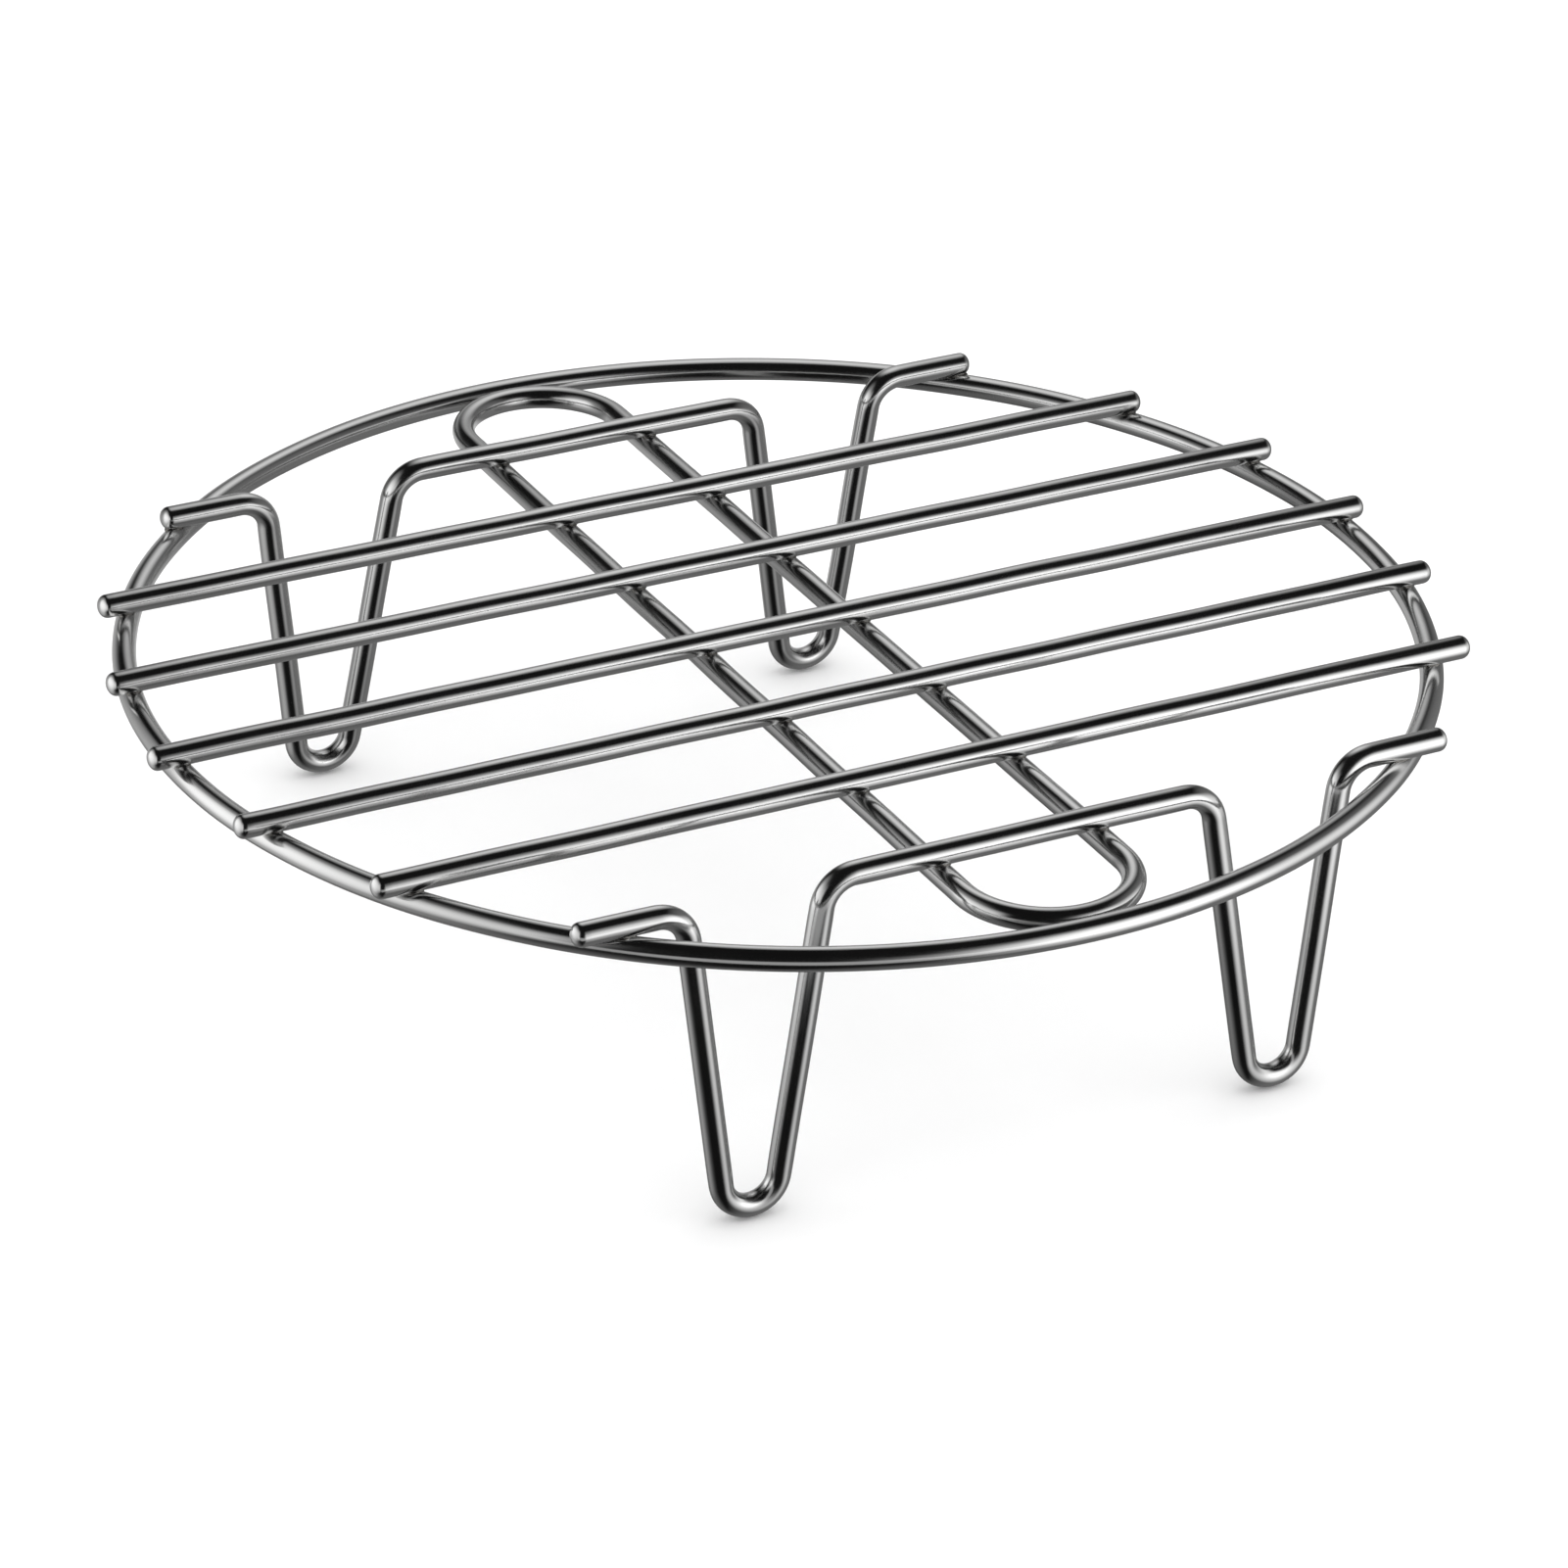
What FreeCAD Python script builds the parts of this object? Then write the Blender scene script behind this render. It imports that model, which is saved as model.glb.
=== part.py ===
import FreeCAD, Part
import os
from math import acos, asin, atan2, cos, degrees, hypot, pi, radians, sin, sqrt, tan
from FreeCAD import Vector

# Round wire cooling rack.  Seven parallel wires lie on top of a hoop and a long oval loop and are
# resistance-welded where they cross.  The first and last of the seven are bent down into the feet.
#
# Frame: +X along the parallel wires, +Y from the front leg wire to the rear one, +Z up.
# The origin is on the plane that the feet stand on, under the centre of the hoop.

# ---- driving dimensions, millimetres and degrees ----

wireDiameter = 3.5
endRounding = 1.0         # tumbled edge of each cut wire end

rackHeight = 50.8         # floor to the top of the parallel wires
ringOuterDiameter = 193.0
rodOverhang = 2.25        # the circle of rod ends is this much larger in radius than the hoop
legOverhang = 1.5         # the same for the ends of the two leg wires
gridShift = -2.2          # the grid's centre, measured along Y from the hoop's centre
rowPitch = 23.4           # between neighbouring parallel wires
crossRodCount = 5

loopOuterWidth = 28.4

shoulderOuter = 51.5      # outer top corner of a leg, from the middle of its wire
shoulderInner = 30.1      # inner top corner of a leg
footCentre = 41.6         # middle of the foot bend
shoulderBendRadius = 5.0  # of the wire's centreline
footBendRadius = 4.5      # of the wire's centreline
legSplay = 2.4            # outward lean of the feet

weldSetdown = 0.3         # how far two crossing wires sink into each other
weldFlash = 0.4           # nugget metal beyond the edge of that contact
weldDepth = 0.45          # nugget metal beyond the contact, into each wire

# ---- sizes that follow ----

wireRadius = wireDiameter / 2
rodZ = rackHeight - wireRadius
hoopZ = rodZ - wireDiameter + weldSetdown
ringRadius = (ringOuterDiameter - wireDiameter) / 2
loopHalfWidth = (loopOuterWidth - wireDiameter) / 2
loopHalfLength = ringRadius - wireDiameter                # its ends touch the hoop's inner side
loopStraightHalf = loopHalfLength - loopHalfWidth
legDrop = (rodZ - wireRadius) / cos(radians(legSplay))    # along the leaning plane of a leg
weldZ = (rodZ + hoopZ) / 2
contactRadius = sqrt(wireRadius * weldSetdown)            # of the sunken contact, before its slant
nuggetHalfHeight = weldSetdown / 2 + weldDepth

rowCount = crossRodCount + 2
rowOffsets = [(row - (rowCount - 1) / 2) * rowPitch for row in range(rowCount)]
firstRow = rowOffsets[0]
lastRow = rowOffsets[-1]


def rowY(offset):
    # Place along Y of the wire that is this far from the grid's centre.
    return gridShift + offset


def rowHalfLength(offset, overhang):
    # Wire ends lie on a circle about the grid's centre, so this is half its chord.
    return sqrt((ringOuterDiameter / 2 + overhang) ** 2 - offset ** 2)


# ---- bent wires ----

def tangentDirection(corner, centre, radius, side):
    # Unit vector from the corner along the line that touches the circle on the given side.
    dx = centre[0] - corner[0]
    dz = centre[1] - corner[1]
    reach = hypot(dx, dz)
    turn = side * asin(radius / reach)
    return ((dx * cos(turn) - dz * sin(turn)) / reach, (dx * sin(turn) + dz * cos(turn)) / reach)


def crossingPoint(cornerA, directionA, cornerB, directionB):
    # Where two lines meet, each given by a point and a direction.
    dx = cornerB[0] - cornerA[0]
    dz = cornerB[1] - cornerA[1]
    slant = directionA[0] * directionB[1] - directionA[1] * directionB[0]
    along = (dx * directionB[1] - dz * directionB[0]) / slant
    return (cornerA[0] + along * directionA[0], cornerA[1] + along * directionA[1])


def bentPath(corners, radii):
    # Straight runs through the corners in the XZ plane, each inner corner rounded by a tangent arc.
    points = [Vector(x, 0, z) for x, z in corners]
    edges = []
    start = points[0]
    for before, corner, after, radius in zip(points, points[1:], points[2:], radii):
        inward = (before - corner).normalize()
        outward = (after - corner).normalize()
        halfAngle = acos(inward.dot(outward)) / 2
        arcStart = corner + inward * (radius / tan(halfAngle))
        arcEnd = corner + outward * (radius / tan(halfAngle))
        middleWay = (inward + outward).normalize()
        arcMiddle = corner + middleWay * (radius / sin(halfAngle) - radius)
        edges.append(Part.LineSegment(start, arcStart).toShape())
        edges.append(Part.Arc(arcStart, arcMiddle, arcEnd).toShape())
        start = arcEnd
    edges.append(Part.LineSegment(start, points[-1]).toShape())
    return Part.Wire(edges)


def roundEnds(solid, halfLength):
    # Rounds the sharp edge of both cut ends, which lie at X = plus and minus halfLength.
    sharp = [edge for edge in solid.Edges
             if isinstance(edge.Curve, Part.Circle)
             and abs(abs(edge.Curve.Center.x) - halfLength) < wireRadius
             and abs(edge.Curve.Axis.x) > 0.5]
    return solid.makeFillet(endRounding, sharp)


def straightRod(halfLength):
    # Plain cylinder along X, centred, with rounded ends.
    rod = Part.makeCylinder(wireRadius, 2 * halfLength, Vector(-halfLength, 0, 0), Vector(1, 0, 0))
    return roundEnds(rod, halfLength)


def legCorners(halfLength):
    # Corners of a leg wire from its left end to its right end, and the bend radius at each.
    outer = (shoulderOuter, 0)
    inner = (shoulderInner, 0)
    footCircle = (footCentre, footBendRadius - legDrop)
    outerLine = tangentDirection(outer, footCircle, footBendRadius, 1)
    innerLine = tangentDirection(inner, footCircle, footBendRadius, -1)
    apex = crossingPoint(outer, outerLine, inner, innerLine)
    right = [inner, apex, outer, (halfLength, 0)]
    left = [(-x, z) for x, z in reversed(right)]
    radii = [shoulderBendRadius, footBendRadius, shoulderBendRadius]
    return left + right, radii + radii


def legWire(offset, lean):
    # One wire with two legs, leaning outward about its own straight spans.
    halfLength = rowHalfLength(offset, legOverhang)
    path = bentPath(*legCorners(halfLength))
    section = Part.Wire(Part.makeCircle(wireRadius, Vector(-halfLength, 0, 0), Vector(1, 0, 0)))
    wire = path.makePipeShell([section], True, False)
    wire = roundEnds(wire, halfLength)
    wire.rotate(Vector(0, 0, 0), Vector(1, 0, 0), lean)
    wire.translate(Vector(0, rowY(offset), rodZ))
    return wire


def crossRod(offset):
    rod = straightRod(rowHalfLength(offset, rodOverhang))
    rod.translate(Vector(0, rowY(offset), rodZ))
    return rod


# ---- hoop and loop ----

def outerRing():
    return Part.makeTorus(ringRadius, wireRadius, Vector(0, 0, hoopZ))


def supportLoop():
    # Two straight sides along Y joined by half-turns, as one closed tube.
    pieces = []
    for side in (-1, 1):
        sideStart = Vector(side * loopHalfWidth, -loopStraightHalf, hoopZ)
        pieces.append(Part.makeCylinder(wireRadius, 2 * loopStraightHalf, sideStart, Vector(0, 1, 0)))
    for end in (-1, 1):
        turn = Part.makeTorus(loopHalfWidth, wireRadius, Vector(0, 0, 0), Vector(0, 0, 1), -180, 180, 180)
        turn.rotate(Vector(0, 0, 0), Vector(0, 0, 1), 0 if end > 0 else 180)
        turn.translate(Vector(0, end * loopStraightHalf, hoopZ))
        pieces.append(turn)
    return pieces[0].multiFuse(pieces[1:]).removeSplitter()


# ---- welds ----

def fusedDisc(halfAngle):
    # Disc of fused metal, centred and lying flat.  Two wires that cross at a narrow angle touch over
    # an ellipse that is long along the line halfway between them, here along X.
    long = contactRadius / sin(halfAngle) + weldFlash
    short = contactRadius / cos(halfAngle) + weldFlash
    outline = Part.Ellipse(Vector(0, 0, 0), max(long, short), min(long, short)).toShape()
    disc = Part.Face(Part.Wire(outline)).extrude(Vector(0, 0, 2 * nuggetHalfHeight))
    disc.translate(Vector(0, 0, -nuggetHalfHeight))
    return disc


def crossingNugget(x, y, crossedAngle):
    # Between a parallel wire and a wire that crosses it at this angle from X, up to a right angle.
    disc = fusedDisc(abs(crossedAngle) / 2)
    disc.rotate(Vector(0, 0, 0), Vector(0, 0, 1), degrees(crossedAngle) / 2)
    disc.translate(Vector(x, y, weldZ))
    return disc


def ringNuggets():
    nuggets = []
    for offset in rowOffsets:
        y = rowY(offset)
        crossingX = sqrt(ringRadius ** 2 - y ** 2)
        hoopAngle = atan2(crossingX, abs(y))
        for side in (-1, 1):
            leaning = hoopAngle if side * y < 0 else -hoopAngle
            nuggets.append(crossingNugget(side * crossingX, y, leaning))
    return nuggets


def loopNuggets():
    return [crossingNugget(side * loopHalfWidth, rowY(offset), pi / 2)
            for offset in rowOffsets for side in (-1, 1)]


def loopEndNuggets():
    # Discs on edge where the loop's two ends touch the inner side of the hoop.
    contactY = ringRadius - wireRadius
    nuggets = []
    for end in (-1, 1):
        disc = fusedDisc(pi / 4)
        disc.rotate(Vector(0, 0, 0), Vector(1, 0, 0), 90)
        disc.translate(Vector(0, end * contactY, hoopZ))
        nuggets.append(disc)
    return nuggets


# ---- assembly ----

def buildNodes():
    welds = {
        "ring_weld_nuggets": ringNuggets(),
        "loop_weld_nuggets": loopNuggets(),
        "loop_end_weld_nuggets": loopEndNuggets(),
    }
    wires = {
        "outer_ring": outerRing(),
        "support_loop": supportLoop(),
        "front_leg_wire": legWire(firstRow, -legSplay),
        "rear_leg_wire": legWire(lastRow, legSplay),
    }
    for number, offset in enumerate(rowOffsets[1:-1], start=1):
        wires["cross_rod_%d" % number] = crossRod(offset)

    fused = welds["ring_weld_nuggets"] + welds["loop_weld_nuggets"] + welds["loop_end_weld_nuggets"]
    nodes = {}
    for name, wire in wires.items():
        touching = [nugget for nugget in fused if nugget.BoundBox.intersect(wire.BoundBox)]
        nodes[name] = wire.cut(touching)
    for name, nuggets in welds.items():
        nodes[name] = Part.makeCompound(nuggets)
    return nodes


os.makedirs("parts", exist_ok=True)
for name, shape in buildNodes().items():
    shape.exportStep("parts/%s.step" % name)
    print("%-22s solids %2d  volume %9.2f mm3  valid %s"
          % (name, len(shape.Solids), shape.Volume, shape.isValid()))
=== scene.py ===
import math

import bpy
import numpy as np
from mathutils import Matrix, Vector


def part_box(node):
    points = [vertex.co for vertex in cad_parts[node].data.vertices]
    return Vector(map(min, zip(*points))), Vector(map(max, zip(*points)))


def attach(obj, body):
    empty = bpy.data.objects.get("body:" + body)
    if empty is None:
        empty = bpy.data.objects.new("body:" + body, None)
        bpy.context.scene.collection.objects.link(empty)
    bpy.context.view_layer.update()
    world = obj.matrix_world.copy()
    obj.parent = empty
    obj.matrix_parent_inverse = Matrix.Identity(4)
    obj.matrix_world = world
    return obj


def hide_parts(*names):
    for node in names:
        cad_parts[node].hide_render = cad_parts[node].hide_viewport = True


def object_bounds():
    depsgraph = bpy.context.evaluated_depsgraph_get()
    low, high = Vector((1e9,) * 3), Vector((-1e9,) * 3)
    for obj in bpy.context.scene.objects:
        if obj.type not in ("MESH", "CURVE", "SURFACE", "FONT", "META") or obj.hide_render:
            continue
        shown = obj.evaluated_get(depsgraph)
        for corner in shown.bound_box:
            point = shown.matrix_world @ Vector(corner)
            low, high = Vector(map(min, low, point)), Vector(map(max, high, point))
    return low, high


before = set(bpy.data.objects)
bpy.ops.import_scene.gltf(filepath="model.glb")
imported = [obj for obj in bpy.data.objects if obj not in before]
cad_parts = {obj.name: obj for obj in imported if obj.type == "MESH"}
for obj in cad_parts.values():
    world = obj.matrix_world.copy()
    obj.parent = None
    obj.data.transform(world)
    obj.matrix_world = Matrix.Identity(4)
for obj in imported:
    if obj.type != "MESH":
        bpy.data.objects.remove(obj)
cadLow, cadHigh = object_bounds()

# Round stainless wire rack: seven parallel wires resistance-welded on top of a hoop and a long oval
# loop.  Lengths in the dictionaries are millimetres unless a note says metres, and angles are degrees.

mm = 0.001


def linearColour(hexCode):
    # sRGB hex to the linear colour a shader socket wants
    channels = np.array([int(hexCode[i:i + 2], 16) for i in (1, 3, 5)]) / 255
    linear = np.where(channels <= 0.04045, channels / 12.92, ((channels + 0.055) / 1.055) ** 2.4)
    return (*linear.tolist(), 1.0)


def addNode(tree, kind, inputs=None, **settings):
    # one node with its settings; an input is a plain value, or another node's output to link
    node = tree.nodes.new("ShaderNode" + kind)
    for name, value in settings.items():
        setattr(node, name, value)
    for name, value in (inputs or {}).items():
        if isinstance(value, bpy.types.NodeSocket):
            tree.links.new(value, node.inputs[name])
        else:
            node.inputs[name].default_value = value
    return node


def addObject(name, data):
    # a new object, linked to the scene
    thing = bpy.data.objects.new(name, data)
    bpy.context.collection.objects.link(thing)
    return thing


def startMaterial(name):
    # a material with nodes on, its tree, and its Principled shader
    material = bpy.data.materials.new(name)
    material.use_nodes = True
    return material, material.node_tree, material.node_tree.nodes["Principled BSDF"]


cameraView = {
    "target": (-3.41, -9.3, 27.29),  # just in front of the rack's middle
    "azimuth": -28.03,
    "elevation": 27.88,
    "distance": 1003.4,
    "roll": 1.513,                   # right side of the camera tipped up
    "lens": 158.45,
    "sensor": 36.0,
    "clip": (0.05, 50.0),            # metres
}


def directionFrom(azimuth, elevation):
    # unit vector from the middle outwards; azimuth 0 is the front (-Y) and 90 the right (+X)
    a, e = math.radians(azimuth), math.radians(elevation)
    return Vector((math.sin(a) * math.cos(e), -math.cos(a) * math.cos(e), math.sin(e)))


def placeCamera():
    # stands off the target, looks at it, then rolls about its own axis
    data = bpy.data.cameras.new("camera")
    data.lens = cameraView["lens"]
    data.sensor_width = cameraView["sensor"]
    data.clip_start, data.clip_end = cameraView["clip"]
    camera = addObject("camera", data)
    back = directionFrom(cameraView["azimuth"], cameraView["elevation"])
    camera.rotation_mode = "QUATERNION"
    camera.location = Vector(cameraView["target"]) * mm + back * cameraView["distance"] * mm
    level = (-back).to_track_quat("-Z", "Y")
    tipped = Matrix.Rotation(math.radians(cameraView["roll"]), 3, "Z").to_quaternion()
    camera.rotation_quaternion = level @ tipped
    bpy.context.scene.camera = camera


placeCamera()
print("camera placed")

# Sizes read from the frame

rodLow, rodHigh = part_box("cross_rod_1")
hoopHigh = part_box("outer_ring")[1]
wireRadius = (rodHigh.z - rodLow.z) / 2
rodZ = (rodHigh.z + rodLow.z) / 2
hoopZ = hoopHigh.z - wireRadius
hoopRadius = hoopHigh.x - wireRadius
weldZ = (rodZ + hoopZ) / 2
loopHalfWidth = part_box("support_loop")[1].x - wireRadius
loopHalfLength = hoopRadius - 2 * wireRadius      # its ends rest against the hoop's inner side
crossRods = ["cross_rod_%d" % number for number in range(1, 6)]
rodY = {node: (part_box(node)[0].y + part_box(node)[1].y) / 2 for node in crossRods}
rodY["front_leg_wire"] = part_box("front_leg_wire")[1].y - wireRadius
rodY["rear_leg_wire"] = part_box("rear_leg_wire")[0].y + wireRadius

wireMake = {
    "sectionFaces": 48,
    "step": 0.8,          # between rings on a straight run
    "bendStep": 0.35,     # between rings in a tight bend
    "tightBend": 20.0,    # bend radius below which a bend is tight
    "endDepth": 1.4,      # tumbled, domed end
    "endSquareness": 2.15,
    "endTilt": 2.5,       # the shear doesn't cut quite square
    "endRings": 14,       # over each dome
    "sway": 0.035,        # drawn wire wanders this far from true
    "swayLength": 34.0,
    "swayShares": (0.25, 0.6),   # how much of it each of the three waves may take
    "bendFlattening": 0.035,
    "flattenedAt": 5.0,   # bend radius at which the flattening is full
    "softenedOver": 9,    # rings that the flattening fades in over
    "heatAndShadeReach": 3.2,     # the weld's heat dulling and the painted shade round the weld reach this far along the wire
    "heatAndShadeEdge": 0.9,      # inside this share of the wire's radius it is full
}


def wirePath(programme, closed=False):
    # A wire bender's programme: each step is (straight feed, turn in radians, bend radius), in metres.
    # Heading is constant on a feed and grows evenly through a bend.  Place is the running sum of
    # exact chords: each chord is its arc times sin(half turn) / half turn, along the middle heading.
    knots, headings, spacing = [0.0], [0.0], []
    for feed, turn, radius in programme:
        for length, gained in ((feed, 0.0), (abs(turn) * radius, turn)):
            if length > 1e-9:
                knots.append(knots[-1] + length)
                headings.append(headings[-1] + gained)
                tight = gained and radius < wireMake["tightBend"] * mm
                spacing.append(wireMake["bendStep" if tight else "step"] * mm)
    spans = [np.linspace(a, b, max(3, math.ceil((b - a) / gap)), endpoint=False)
             for a, b, gap in zip(knots, knots[1:], spacing)]
    along = np.concatenate(spans + [[knots[-1]]])
    heading = np.interp(along, knots, headings)
    turn = np.diff(heading)
    chord = np.diff(along) * np.sinc(turn / (2 * math.pi))
    middle = (heading[1:] + heading[:-1]) / 2
    across = np.stack([np.cos(middle), np.sin(middle)], axis=1) * chord[:, None]
    place = np.concatenate([[[0.0, 0.0]], np.cumsum(across, axis=0)])
    curve = np.abs(np.gradient(heading, along))
    if closed:
        return place[:-1], heading[:-1], along[:-1], curve[:-1], knots[-1]
    return place, heading, along, curve, knots[-1]


def swayOf(along, total, random):
    # Sum of three sines along the wire, each with a whole number of waves, so a closed wire joins up
    waves = max(1, round(total / (wireMake["swayLength"] * mm)))
    counts = waves + np.array([-1, 0, 2]) if waves > 2 else np.array([1, 2, 3])
    strengths = wireMake["sway"] * mm * random.uniform(*wireMake["swayShares"], 3)
    phases = random.uniform(0, 2 * math.pi, 3)
    turns = 2 * math.pi * along[:, None] * counts / total + phases
    return (np.sin(turns) * strengths).sum(axis=1)


def sweptWire(name, programme, origin, right, up, welds, seed, closed=False):
    # Round section carried along the path in the plane of right and up.  The section is an ellipse,
    # flattened a little where the path bends, and each open end closes in a superellipse:
    # radius = R sin(t)^(2/p), depth = d (1 - cos(t)^(2/p)) for t from 0 at the tip to a quarter turn.
    random = np.random.default_rng(seed)
    place, heading, along, curve, total = wirePath(programme, closed)
    origin, right, up = (np.array(v, dtype=float) for v in (origin, right, up))
    normal = np.cross(right, up)
    scale = np.ones(len(along))
    push = np.zeros(len(along))
    if not closed:
        t = np.linspace(0, math.pi / 2, wireMake["endRings"] + 1)[1:]
        power = 2 / wireMake["endSquareness"]
        capRadius, capDepth = np.sin(t) ** power, wireMake["endDepth"] * mm * (1 - np.cos(t) ** power)
        clear = capDepth[-1] * 1.2              # no ring of the run crowds the dome's last one
        inner = (along > clear) & (along < total - clear)
        rings = np.concatenate([capDepth, along[inner], total - capDepth[::-1]])
        place = np.stack([np.interp(rings, along, place[:, k]) for k in (0, 1)], axis=1)
        heading = np.interp(rings, along, heading)
        curve = np.interp(rings, along, curve)
        scale = np.concatenate([capRadius, np.ones(inner.sum()), capRadius[::-1]])
        fade = np.concatenate([1 - capDepth / capDepth[-1], np.zeros(inner.sum())])
        push = np.concatenate([fade, 1 - capDepth[::-1] / capDepth[-1]])
        along = rings
    window = np.hanning(wireMake["softenedOver"])
    padded = np.pad(curve, len(window) // 2, mode="wrap" if closed else "edge")
    bend = np.convolve(padded, window / window.sum(), mode="valid")
    flat = wireMake["bendFlattening"] * np.clip(bend * wireMake["flattenedAt"] * mm, 0, 1)

    tangent = np.cos(heading)[:, None] * right + np.sin(heading)[:, None] * up
    side = np.sin(heading)[:, None] * right - np.cos(heading)[:, None] * up
    centre = origin + place[:, :1] * right + place[:, 1:] * up
    centre = centre + swayOf(along, total, random)[:, None] * side
    centre = centre + swayOf(along, total, random)[:, None] * normal

    # the flattened section bulges half as much the other way
    columns = wireMake["sectionFaces"]
    angle = np.linspace(0, 2 * math.pi, columns, endpoint=False)
    out = (np.cos(angle)[None, :, None] * normal * (1 + 0.5 * flat)[:, None, None]
           + np.sin(angle)[None, :, None] * side[:, None, :] * (1 - flat)[:, None, None])
    points = centre[:, None, :] + out * (wireRadius * scale)[:, None, None]
    tilts = np.tan(np.radians(wireMake["endTilt"])) * random.uniform(-1, 1, (2, 2))
    half = len(along) // 2
    lean = np.where(np.arange(len(along))[:, None] < half,
                    np.cos(angle) * tilts[0, 0] + np.sin(angle) * tilts[0, 1],
                    np.cos(angle) * tilts[1, 0] + np.sin(angle) * tilts[1, 1])
    slide = lean * (wireRadius * scale * push)[:, None]
    points = points + slide[:, :, None] * tangent[:, None, :]

    rows = len(along)
    vertices = points.reshape(-1, 3)
    folded = np.abs(along - total / 2) if closed else along   # no seam in the pattern where it closes
    drawn = np.stack(np.broadcast_arrays(np.cos(angle) * wireRadius, np.sin(angle) * wireRadius,
                                         folded[:, None]), axis=2).reshape(-1, 3)
    grid = np.arange(rows * columns).reshape(rows, columns)
    after = np.roll(grid, -1, axis=0) if closed else grid[1:]
    here = grid if closed else grid[:-1]
    quads = np.stack([here, np.roll(here, -1, axis=1), np.roll(after, -1, axis=1), after], axis=2)
    faces = quads.reshape(-1, 4).tolist()
    if not closed:
        tips = np.stack([centre[0] - tangent[0] * along[0],
                         centre[-1] + tangent[-1] * (total - along[-1])])
        vertices = np.concatenate([vertices, tips])
        drawn = np.concatenate([drawn, [[0, 0, 0], [0, 0, total]]])
        first, last = grid[0], grid[-1]
        startPole = np.stack([np.full(columns, rows * columns), np.roll(first, -1), first], axis=1)
        endPole = np.stack([np.full(columns, rows * columns + 1), last, np.roll(last, -1)], axis=1)
        faces += startPole.tolist() + endPole.tolist()

    # weld heat dulling and painted contact shade fall off from the edge of the nearest weld as
    # exp(-(distance / reach)^2)
    away = np.linalg.norm(vertices[:, None, :] - np.array(welds)[None, :, :], axis=2)
    reach = wireMake["heatAndShadeReach"] * mm
    heat = np.exp(-((away - wireRadius * wireMake["heatAndShadeEdge"]).clip(0) / reach) ** 2).max(axis=1)
    return meshPiece(name, vertices, faces, drawn, heat)


def meshPiece(name, vertices, faces, drawn, heat):
    # Mesh from whole arrays, smooth, with the drawn-wire coordinates and the weld heat and painted
    # weld shade mask on its points
    mesh = bpy.data.meshes.new(name)
    mesh.from_pydata(vertices, [], faces)
    mesh.polygons.foreach_set("use_smooth", np.ones(len(faces), dtype=bool))
    mesh.attributes.new("drawn", "FLOAT_VECTOR", "POINT").data.foreach_set("vector", drawn.ravel())
    mesh.attributes.new("heat", "FLOAT", "POINT").data.foreach_set("value", heat)
    mesh.update()
    return addObject(name, mesh)


# where the seven parallel wires cross the hoop and the loop
hoopWelds = [(side * math.sqrt(hoopRadius ** 2 - y ** 2), y, weldZ)
             for y in rodY.values() for side in (-1, 1)]
loopWelds = [(side * loopHalfWidth, y, weldZ) for y in rodY.values() for side in (-1, 1)]
loopEndWelds = [(0, end * (hoopRadius - wireRadius), hoopZ) for end in (-1, 1)]
xAxis, yAxis, zAxis = (1, 0, 0), (0, 1, 0), (0, 0, 1)


def weldsNear(y):
    # the four welds of the wire on this row
    return [weld for weld in hoopWelds + loopWelds if abs(weld[1] - y) < wireRadius]


wireFinish = {
    "colour": "#CDCDCD",
    "paler": "#D6D6D5",
    # painted shade: the wire's colour darkens to this round each weld, where the wires cross
    "paintedWeldShade": "#A39E98",
    "roughness": (0.13, 0.20),
    "heatRoughness": 0.08,
    "wearSpread": (0.12, 0.42),   # range of lines times clouds, smoothest to most worn
    "lineWidth": 0.22,      # polishing lines; real ones are about 0.02 wide, drawn coarser to show
    "lineLength": 14.0,
    "lineHeight": 0.0008,
    "cloudSize": 9.0,
    "scuffSize": 0.5,
    "scuffHeight": 0.0004,
}


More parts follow.
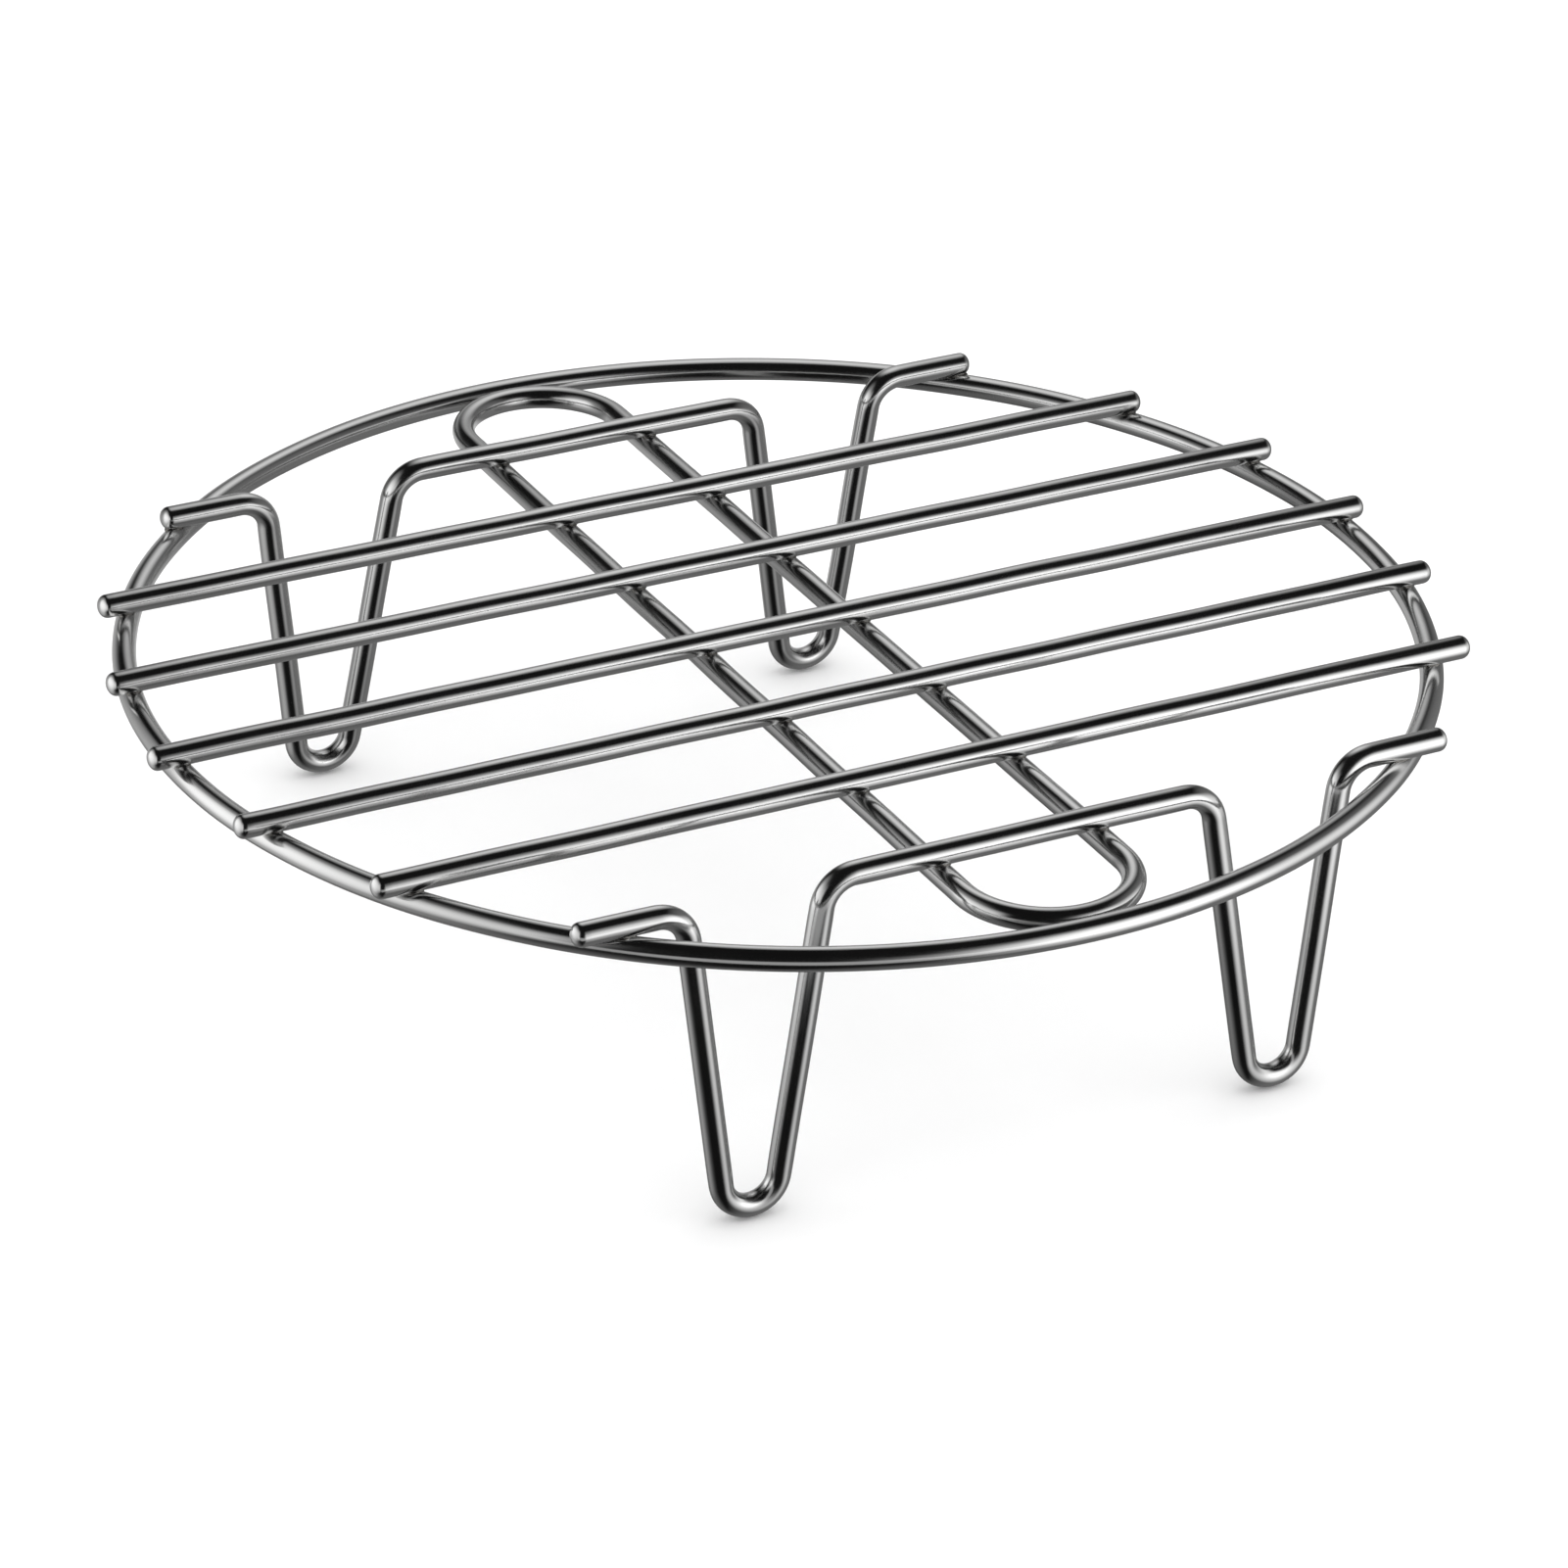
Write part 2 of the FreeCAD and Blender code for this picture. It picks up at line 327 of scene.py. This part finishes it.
def polishedDrawnStainless(finish):
    # Type 304 wire, cold drawn and then mirror polished.  Gives hard dark and bright bands that run
    # along the wire, with faint lengthwise lines, soft clouding, a duller finish beside each weld, and
    # painted shade there where the wires cross.
    material, tree, shader = startMaterial("stainless steel wire, drawn and mirror polished")
    shader.inputs["Metallic"].default_value = 1.0
    drawn = addNode(tree, "Attribute", attribute_name="drawn")
    heat = addNode(tree, "Attribute", attribute_name="heat").outputs["Fac"]
    place = addNode(tree, "TexCoord").outputs["Object"]
    narrow = 1 / (finish["lineWidth"] * mm)
    stretched = addNode(tree, "Mapping", {
        "Vector": drawn.outputs["Vector"],
        "Scale": (narrow, narrow, 1 / (finish["lineLength"] * mm))})
    lines = addNode(tree, "TexNoise", {"Vector": stretched.outputs["Vector"], "Scale": 1.0,
                                       "Detail": 3.0, "Roughness": 0.6}).outputs["Fac"]
    clouds = addNode(tree, "TexNoise", {"Vector": place, "Detail": 2.0,
                                        "Scale": 1 / (finish["cloudSize"] * mm)}).outputs["Fac"]
    scuffs = addNode(tree, "TexNoise", {"Vector": place, "Detail": 4.0,
                                        "Scale": 1 / (finish["scuffSize"] * mm)}).outputs["Fac"]
    wear = addNode(tree, "Math", {0: lines, 1: clouds}, operation="MULTIPLY").outputs["Value"]
    least, most = finish["wearSpread"]
    low, high = finish["roughness"]
    polish = addNode(tree, "MapRange", {"Value": wear, "From Min": least, "From Max": most,
                                        "To Min": low, "To Max": high}).outputs["Result"]
    dulled = addNode(tree, "Math", {0: heat, 1: finish["heatRoughness"], 2: polish},
                     operation="MULTIPLY_ADD").outputs["Value"]
    steel = addNode(tree, "Mix", {0: clouds, 6: linearColour(finish["colour"]),
                                  7: linearColour(finish["paler"])}, data_type="RGBA").outputs[2]
    # painted contact shade: the colour darkens toward each weld
    weldShaded = addNode(tree, "Mix", {0: heat, 6: steel, 7: linearColour(finish["paintedWeldShade"])},
                     data_type="RGBA").outputs[2]
    drawnLines = addNode(tree, "Bump", {"Height": lines, "Strength": 1.0,
                                        "Distance": finish["lineHeight"] * mm}).outputs["Normal"]
    worn = addNode(tree, "Bump", {"Height": scuffs, "Strength": 1.0, "Normal": drawnLines,
                                  "Distance": finish["scuffHeight"] * mm}).outputs["Normal"]
    for output, name in ((dulled, "Roughness"), (weldShaded, "Base Color"), (worn, "Normal")):
        tree.links.new(output, shader.inputs[name])
    return material


beadFinish = {
    "colour": "#989693",
    # painted shade: the bead's colour in the ripple's hollows
    "paintedHollowShade": "#65635F",
    "roughness": (0.16, 0.32),
    "grainSize": 0.8,       # frozen ripple of the squeezed metal
    "grainHeight": 0.003,
    "rippleSpread": (0.3, 0.7),   # range of the ripple, hollows to high spots
}


def tumbledWeldSteel(finish):
    # Metal squeezed out of a resistance weld and then tumbled.  Gives small satin beads with an uneven
    # skin, smoother on their high spots, with painted shade darkening the colour in their hollows.
    material, tree, shader = startMaterial("stainless weld metal, tumbled")
    shader.inputs["Metallic"].default_value = 1.0
    place = addNode(tree, "TexCoord").outputs["Object"]
    ripple = addNode(tree, "TexNoise", {"Vector": place, "Detail": 3.0,
                                        "Scale": 1 / (finish["grainSize"] * mm)}).outputs["Fac"]
    # painted shade: darker colour in the ripple's hollows, lighter on its crests
    shadedSkin = addNode(tree, "Mix", {0: ripple, 6: linearColour(finish["paintedHollowShade"]),
                                 7: linearColour(finish["colour"])}, data_type="RGBA").outputs[2]
    hollow, crest = finish["rippleSpread"]
    low, high = finish["roughness"]
    satin = addNode(tree, "MapRange", {"Value": ripple, "From Min": hollow, "From Max": crest,
                                       "To Min": high, "To Max": low}).outputs["Result"]
    uneven = addNode(tree, "Bump", {"Height": ripple, "Strength": 1.0,
                                    "Distance": finish["grainHeight"] * mm}).outputs["Normal"]
    for output, name in ((satin, "Roughness"), (shadedSkin, "Base Color"), (uneven, "Normal")):
        tree.links.new(output, shader.inputs[name])
    return material


wireSteel = polishedDrawnStainless(wireFinish)
beadSteel = tumbledWeldSteel(beadFinish)
print("materials ready")


def finishPiece(piece, material, slot, *nodes):
    # the piece takes its steel, stands for its CAD nodes and rides with the rack
    piece.data.materials.append(material)
    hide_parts(*nodes)
    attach(piece, "root")


# The five straight rods

handPlacement = {         # how far each rod lies off the middle along X, as it was set in the jig
    "cross_rod_1": 0.0,
    "cross_rod_2": -0.95,
    "cross_rod_3": -1.1,
    "cross_rod_4": -0.4,
    "cross_rod_5": -1.05,
}

for number, node in enumerate(crossRods):
    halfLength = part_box(node)[1].x
    leftEnd = handPlacement[node] * mm - halfLength
    rod = sweptWire("crossRod%d" % (number + 1), [(2 * halfLength, 0, 0)],
                    (leftEnd, rodY[node], rodZ), xAxis, yAxis,
                    weldsNear(rodY[node]), seed=10 + number)
    finishPiece(rod, wireSteel, "stainless_wire", node)
print("cross rods ready")

# Hoop and loop, both closed

hoop = sweptWire("hoop", [(0, 2 * math.pi, hoopRadius)], (0, -hoopRadius, hoopZ), xAxis, yAxis,
                 hoopWelds + loopEndWelds, seed=20, closed=True)
finishPiece(hoop, wireSteel, "stainless_wire", "outer_ring")

loopSide = 2 * (loopHalfLength - loopHalfWidth)
ovalLoop = sweptWire("ovalLoop", [(loopSide, math.pi, loopHalfWidth)] * 2,
                     (loopHalfWidth, -loopSide / 2, hoopZ), yAxis, (-1, 0, 0),
                     loopWelds + loopEndWelds, seed=21, closed=True)
finishPiece(ovalLoop, wireSteel, "stainless_wire", "support_loop")
print("hoop and loop ready")

legShape = {
    "shoulderOuter": 51.5,   # outer top corner of a leg, from the middle of its wire
    "shoulderInner": 30.1,
    "footCentre": 41.6,
    "shoulderBend": 5.0,     # radii of the wire's middle line
    "footBend": 4.5,
    "splay": 2.4,            # outward lean of the feet
}


def legProgramme(halfLength):
    # Corners of the bent line, then feeds and turns.  A leg's two sides touch the foot's bend circle:
    # each is turned from the line to the circle's centre by asin(radius / distance).
    foot, shoulder = legShape["footBend"] * mm, legShape["shoulderBend"] * mm
    drop = (rodZ - wireRadius) / math.cos(math.radians(legShape["splay"]))
    centre = complex(legShape["footCentre"] * mm, foot - drop)
    outer, inner = legShape["shoulderOuter"] * mm, legShape["shoulderInner"] * mm
    slopes = []
    for corner, way in ((outer, 1), (inner, -1)):
        reach = centre - corner
        slopes.append(reach / abs(reach) * np.exp(1j * way * math.asin(foot / abs(reach))))
    across = (slopes[0].conjugate() * slopes[1]).imag
    apex = outer + slopes[0] * ((inner - outer) * slopes[1].conjugate()).imag / -across
    rightHalf = [complex(inner), apex, complex(outer), complex(halfLength)]
    corners = [complex(-c.real, c.imag) for c in reversed(rightHalf)] + rightHalf
    radii = [shoulder, foot, shoulder] * 2
    legs = np.diff(corners)
    turns = np.angle(legs[1:] / legs[:-1])
    setbacks = np.concatenate([[0], np.abs(np.tan(turns / 2)) * radii, [0]])
    feeds = np.abs(legs) - setbacks[:-1] - setbacks[1:]
    return list(zip(feeds, [*turns, 0], [*radii, 0]))


for name, node, way, seed in (("frontLegWire", "front_leg_wire", -1, 30),
                              ("rearLegWire", "rear_leg_wire", 1, 31)):
    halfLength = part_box(node)[1].x
    lean = math.radians(legShape["splay"])
    upward = (0, -way * math.sin(lean), math.cos(lean))
    legWire = sweptWire(name, legProgramme(halfLength), (-halfLength, rodY[node], rodZ),
                        xAxis, upward, weldsNear(rodY[node]), seed)
    finishPiece(legWire, wireSteel, "stainless_wire", node)
print("leg wires ready")

weldBead = {
    "wide": 1.35,      # half width where two wires cross square
    "high": 0.52,      # half height, into the notch between them
    "lumps": 0.05,     # unevenness, as a share of the size
    "stretch": 0.7,    # how strongly a narrow crossing draws the bead out
    "endNarrow": 0.8,  # the loop's end beads, across, as a share of the half width
    "columns": 28,
    "rows": 16,
}


def weldBeads(name, beads, seed):
    # One lumpy ellipsoid per weld.  Radius = 1 + three seeded waves round the bead, weaker toward its
    # poles; then it is stretched to (long, short, high) and set in its own three directions.
    random = np.random.default_rng(seed)
    columns, rows = weldBead["columns"], weldBead["rows"]
    turn = np.linspace(0, 2 * math.pi, columns, endpoint=False)[None, :]
    tilt = np.linspace(0, math.pi, rows + 1)[1:-1, None]
    vertices, faces = [], []
    grid = np.arange((rows - 1) * columns).reshape(rows - 1, columns)
    quads = np.stack([grid[:-1], grid[1:], np.roll(grid[1:], -1, 1), np.roll(grid[:-1], -1, 1)], 2)
    top, bottom = grid.size, grid.size + 1
    caps = [(top, a, b) for a, b in zip(grid[0], np.roll(grid[0], -1))]
    caps += [(bottom, b, a) for a, b in zip(grid[-1], np.roll(grid[-1], -1))]
    for number, (centre, longWay, shortWay, highWay, long, short) in enumerate(beads):
        lumps = sum(weldBead["lumps"] * random.uniform(0.3, 1) * np.sin(k * turn + p + bend * tilt)
                    for k, p, bend in zip((2, 3, 5), random.uniform(0, 6.3, 3),
                                          random.uniform(-2, 2, 3)))
        radius = 1 + lumps * np.sin(tilt) ** 2
        unit = np.stack([radius * np.sin(tilt) * np.cos(turn), radius * np.sin(tilt) * np.sin(turn),
                         radius * np.cos(tilt)], axis=2).reshape(-1, 3)
        unit = np.concatenate([unit, [[0, 0, 1], [0, 0, -1]]])
        reach = np.array([[long], [short], [weldBead["high"] * mm]])
        vertices.append(unit @ (np.array([longWay, shortWay, highWay]) * reach) + np.array(centre))
        first = number * (grid.size + 2)
        faces += (quads.reshape(-1, 4) + first).tolist()
        faces += (np.array(caps) + first).tolist()
    points = np.concatenate(vertices)
    return meshPiece(name, points, faces, points, np.ones(len(points)))


def crossingBead(weld, crossedAngle):
    # Long axis halfway between the two wires; a narrow crossing gives a longer bead
    halfway = crossedAngle / 2
    slant, square = abs(halfway), math.pi / 4
    wide = weldBead["wide"] * mm
    longWay = (math.cos(halfway), math.sin(halfway), 0)
    shortWay = (-math.sin(halfway), math.cos(halfway), 0)
    return (weld, longWay, shortWay, zAxis,
            wide * (math.sin(square) / math.sin(slant)) ** weldBead["stretch"],
            wide * (math.cos(square) / math.cos(slant)) ** weldBead["stretch"])


hoopBeads = []
for x, y, z in hoopWelds:
    crossed = math.atan2(abs(x), abs(y)) * (1 if x * y < 0 else -1)
    hoopBeads.append(crossingBead((x, y, z), crossed))
finishPiece(weldBeads("hoopWeldBeads", hoopBeads, 40), beadSteel, "weld_metal", "ring_weld_nuggets")
finishPiece(weldBeads("loopWeldBeads", [crossingBead(weld, math.pi / 2) for weld in loopWelds], 41),
            beadSteel, "weld_metal", "loop_weld_nuggets")
endBeads = [(weld, xAxis, zAxis, (0, -1, 0), weldBead["wide"] * mm,
             weldBead["wide"] * weldBead["endNarrow"] * mm) for weld in loopEndWelds]
finishPiece(weldBeads("loopEndWeldBeads", endBeads, 42), beadSteel, "weld_metal",
            "loop_end_weld_nuggets")
print("weld beads ready")

softCards = {              # reflectors round the rack, seen only in the polished steel
    # azimuth, elevation, distance, half width and half height as angles, softness both ways, power
    "frontRightTall": (25, -2, 330, 18, 29, 1.8, 1.9, 0.98),
    "frontRightWide": (39, 3, 200, 39, 15, 1.8, 1.9, 0.95),
    "left": (-89, 7, 200, 35, 21, 0.5, 1.9, 0.88),
    "leftRear": (-110, 2, 200, 28, 40, 1.9, 1.9, 0.55),
    "highBehind": (151, 43, 360, 17, 24, 1.9, 1.9, 0.92),
    "fillRight": (84, -24, 800, 53, 64, 1.9, 1.9, 0.20),
    "fillLeftRear": (-130, -44, 360, 40, 36, 1.9, 1.9, 0.20),
    "frontStrip": (-20, -5, 142, 33, 5, 1.0, 0.5, 0.42),     # close, just under the hoop
    "lowBehind": (168, -12, 320, 36, 20, 1.4, 1.4, 0.50),
}


def cardLight(name, softWide, softHigh, power):
    # Glow added on top of what lies behind.  Its two fades are smooth steps of the distance from the
    # card's middle lines, half way down at 1, and are multiplied together.
    material, tree, shader = startMaterial("soft card, " + name)
    tree.nodes.remove(shader)
    place = addNode(tree, "UVMap", uv_map="card").outputs["UV"]
    parts = addNode(tree, "SeparateXYZ", {"Vector": place})
    fades = []
    for axis, softness in (("X", softWide), ("Y", softHigh)):
        off = addNode(tree, "Math", {0: parts.outputs[axis]}, operation="ABSOLUTE").outputs["Value"]
        fades.append(addNode(tree, "MapRange", {
            "Value": off, "From Min": 1 - softness / 2, "From Max": 1 + softness / 2,
            "To Min": 1.0, "To Max": 0.0}, interpolation_type="SMOOTHSTEP").outputs["Result"])
    both = addNode(tree, "Math", {0: fades[0], 1: fades[1]}, operation="MULTIPLY").outputs["Value"]
    level = addNode(tree, "Math", {0: both, 1: power}, operation="MULTIPLY").outputs["Value"]
    glow = addNode(tree, "Emission", {"Strength": level}).outputs["Emission"]
    clear = addNode(tree, "BsdfTransparent").outputs["BSDF"]
    added = addNode(tree, "AddShader", {0: glow, 1: clear}).outputs["Shader"]
    tree.links.new(added, tree.nodes["Material Output"].inputs["Surface"])
    return material


def hangCard(name, azimuth, elevation, distance, halfWide, halfHigh, softWide, softHigh, power):
    # Flat card facing the middle of the hoop; its UVs are 1 where its glow has fallen to half
    out = directionFrom(azimuth, elevation)
    right = directionFrom(azimuth + 90, 0)
    up = out.cross(right) * (1 if out.cross(right).z > 0 else -1)
    reach = np.array([1 + softWide / 2, 1 + softHigh / 2])
    sides = np.tan(np.radians([halfWide, halfHigh])) * distance * mm * reach
    square = np.array([(-1, -1), (1, -1), (1, 1), (-1, 1)], dtype=float)
    middle = np.array(out * distance * mm) + (0, 0, hoopZ)
    corners = middle + square * sides @ np.array([right, up])
    mesh = bpy.data.meshes.new("softCard." + name)
    mesh.from_pydata(corners, [], [(0, 1, 2, 3)])
    mesh.uv_layers.new(name="card").data.foreach_set("uv", (square * reach).ravel())
    mesh.materials.append(cardLight(name, softWide, softHigh, power))
    card = addObject("softCard." + name, mesh)
    for ray in ("camera", "diffuse", "shadow", "transmission", "volume_scatter"):
        setattr(card, "visible_" + ray, False)


for name, card in softCards.items():
    hangCard(name, *card)

surroundings = {
    "paper": "#FBFBFB",
    "fibre": "#F8F8F8",
    "fibreScale": 60.0,
    "seen": 1.12,          # backdrop brightness
    "reflected": 0.008,    # the dark studio, as the steel sees it
    "floorDrop": 0.05,     # clears the feet
    "floorSide": 12.0,     # this and the lamp's sizes are metres
    "lampSide": 1.6,
    "lampPlace": (0.2, -0.3, 1.5),
    "lampTilt": (-10, 8),
    "lampPower": 6.0,
}


def paperSweep():
    # Matt white paper: almost even, with a faint fibre mottle
    material, tree, shader = startMaterial("matt paper sweep")
    shader.inputs["Roughness"].default_value = 0.9
    shader.inputs["Specular IOR Level"].default_value = 0.1
    place = addNode(tree, "TexCoord").outputs["Object"]
    fibre = addNode(tree, "TexNoise", {"Vector": place,
                                       "Scale": surroundings["fibreScale"]}).outputs["Fac"]
    tone = addNode(tree, "Mix", {0: fibre, 6: linearColour(surroundings["fibre"]),
                                 7: linearColour(surroundings["paper"])},
                   data_type="RGBA").outputs[2]
    tree.links.new(tone, shader.inputs["Base Color"])
    return material


half = surroundings["floorSide"] / 2
floorMesh = bpy.data.meshes.new("floor")
floorMesh.from_pydata([(-half, -half, 0), (half, -half, 0), (half, half, 0), (-half, half, 0)],
                      [], [(0, 1, 2, 3)])
floorMesh.materials.append(paperSweep())
floor = addObject("floor", floorMesh)
floor.location.z = cadLow.z - surroundings["floorDrop"] * mm
floor.visible_glossy = False

world = bpy.data.worlds.new("studio")
bpy.context.scene.world = world
world.use_nodes = True
sky = world.node_tree
ray = addNode(sky, "LightPath").outputs["Is Glossy Ray"]
level = addNode(sky, "MapRange", {"Value": ray, "To Min": surroundings["seen"],
                                  "To Max": surroundings["reflected"]}).outputs["Result"]
sky.links.new(level, sky.nodes["Background"].inputs["Strength"])
sky.nodes["Background"].inputs["Color"].default_value = (1, 1, 1, 1)

lampData = bpy.data.lights.new("overhead softbox", "AREA")
lampData.size = surroundings["lampSide"]
lampData.energy = surroundings["lampPower"]
lamp = addObject("overhead softbox", lampData)
lamp.location = surroundings["lampPlace"]
lamp.rotation_euler = (*map(math.radians, surroundings["lampTilt"]), 0)
lamp.visible_glossy = False

bpy.context.scene.view_settings.view_transform = "Standard"
print("studio ready")
